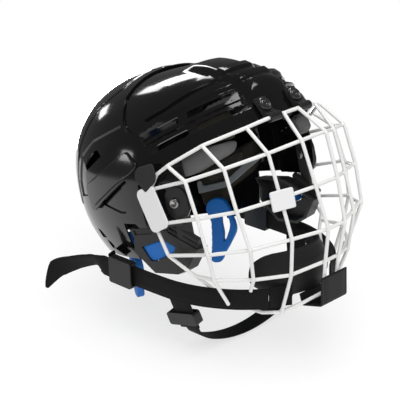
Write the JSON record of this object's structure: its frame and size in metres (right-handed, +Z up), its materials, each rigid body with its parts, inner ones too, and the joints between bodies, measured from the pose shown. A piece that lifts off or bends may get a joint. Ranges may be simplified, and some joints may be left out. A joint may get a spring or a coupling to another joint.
{
  "type": "ice hockey helmet",
  "caption": "Hard two-part hockey helmet with foam liner, wire face cage hinged at the forehead, ear covers, chin cup and webbing straps.",
  "frame": {"origin": "centre of the head opening, level with the lower edge of the ear covers", "axes": "+Z up as worn, -Y the way the wearer faces, +X to the wearer's left"},
  "size_m": [0.2386, 0.3119, 0.2665],
  "materials": {
    "shell_black": "glossy moulded plastic",
    "panel_black": "bare moulded panel",
    "clip_black": "satin moulded plastic",
    "screw_black": "black coated steel",
    "screw_steel": "plain steel",
    "foam_black": "soft foam pad",
    "foam_grey": "light grey foam pad",
    "band_silver": "silver edge band",
    "mesh_black": "open net",
    "foam_blue": "blue foam",
    "cover_grey": "dark grey moulded plastic",
    "cage_white": "white coated steel wire",
    "plate_white": "white moulded plastic",
    "tab_black": "soft bare plastic",
    "cup_black": "bare moulded cup",
    "cup_foam": "soft foam",
    "webbing_black": "woven webbing"
  },
  "bodies": {
    "shell": {"front_shell": "shell_black", "side_panel_left": "panel_black", "side_panel_right": "panel_black", "forehead_clips": "clip_black", "clip_fasteners": "screw_black", "brow_liner": "foam_black", "crown_liner": "foam_black", "temple_pad_left": "foam_grey", "temple_pad_right": "foam_grey", "ear_cover_left": "cover_grey", "ear_cover_right": "cover_grey", "ear_foam_left": "foam_blue", "ear_foam_right": "foam_blue", "temple_plate_left": "clip_black", "temple_plate_right": "clip_black", "temple_fasteners": "screw_steel", "snap_studs": "screw_steel", "chin_strap_left": "webbing_black", "chin_strap_right": "webbing_black", "drop_strap_left": "webbing_black", "drop_strap_right": "webbing_black", "throat_strap": "webbing_black"},
    "rear": {"rear_shell": "shell_black", "adjust_screws": "screw_black", "rear_liner": "foam_black", "side_liner_left": "foam_black", "side_liner_right": "foam_black", "liner_band_left": "band_silver", "liner_band_right": "band_silver", "mesh_patch_left": "mesh_black", "mesh_patch_right": "mesh_black", "nape_pad_left": "foam_blue", "nape_pad_right": "foam_blue", "strap_anchors": "webbing_black"},
    "cage": {"cage_top_bar": "cage_white", "cage_brow_bar": "cage_white", "cage_eye_bar": "cage_white", "cage_nose_bar": "cage_white", "cage_mouth_bar": "cage_white", "cage_rim": "cage_white", "cage_inner_uprights": "cage_white", "cage_second_uprights": "cage_white", "cage_third_uprights": "cage_white", "cage_outer_uprights": "cage_white", "wire_tag": "plate_white", "chin_cup": "cup_black", "chin_cup_pad": "cup_foam", "cup_straps": "webbing_black", "chin_wrap": "tab_black", "side_plate_left": "plate_white", "side_plate_right": "plate_white"},
    "tab_left": {"strap_tab_left": "tab_black"},
    "tab_right": {"strap_tab_right": "tab_black"},
    "slider_left": {"slider_left": "clip_black", "strap_tail_left": "webbing_black"},
    "slider_right": {"slider_right": "clip_black", "strap_tail_right": "webbing_black"},
    "lower_slider_left": {"lower_slider_left": "clip_black"},
    "lower_slider_right": {"lower_slider_right": "clip_black"}
  },
  "joints": [
    {"name": "size_adjust", "type": "slide", "parent": "shell", "child": "rear", "axis": [0, 1, 0], "range_m": [-0.004, 0.004]},
    {"name": "cage_tilt", "type": "hinge", "parent": "shell", "child": "cage", "pos_m": [0, -0.1145, 0.1282], "axis": [-1, 0, 0], "range_deg": [0, 100]},
    {"name": "tab_left_hinge", "type": "hinge", "parent": "cage", "child": "tab_left", "pos_m": [0.1032, -0.02, 0.082], "axis": [0, 0.9564, -0.2921], "range_deg": [0, 70]},
    {"name": "tab_right_hinge", "type": "hinge", "parent": "cage", "child": "tab_right", "pos_m": [-0.1032, -0.02, 0.082], "axis": [0, -0.9564, 0.2921], "range_deg": [0, 70]},
    {"name": "slider_left_slide", "type": "slide", "parent": "shell", "child": "slider_left", "axis": [0, -0.9681, -0.2504], "range_m": [0, 0.006]},
    {"name": "slider_right_slide", "type": "slide", "parent": "shell", "child": "slider_right", "axis": [0, -0.9681, -0.2504], "range_m": [0, 0.006]},
    {"name": "lower_slider_left_slide", "type": "slide", "parent": "shell", "child": "lower_slider_left", "axis": [0.2164, 0, 0.9763], "range_m": [0, 0.005]},
    {"name": "lower_slider_right_slide", "type": "slide", "parent": "shell", "child": "lower_slider_right", "axis": [-0.2164, 0, 0.9763], "range_m": [0, 0.005]}
  ]
}
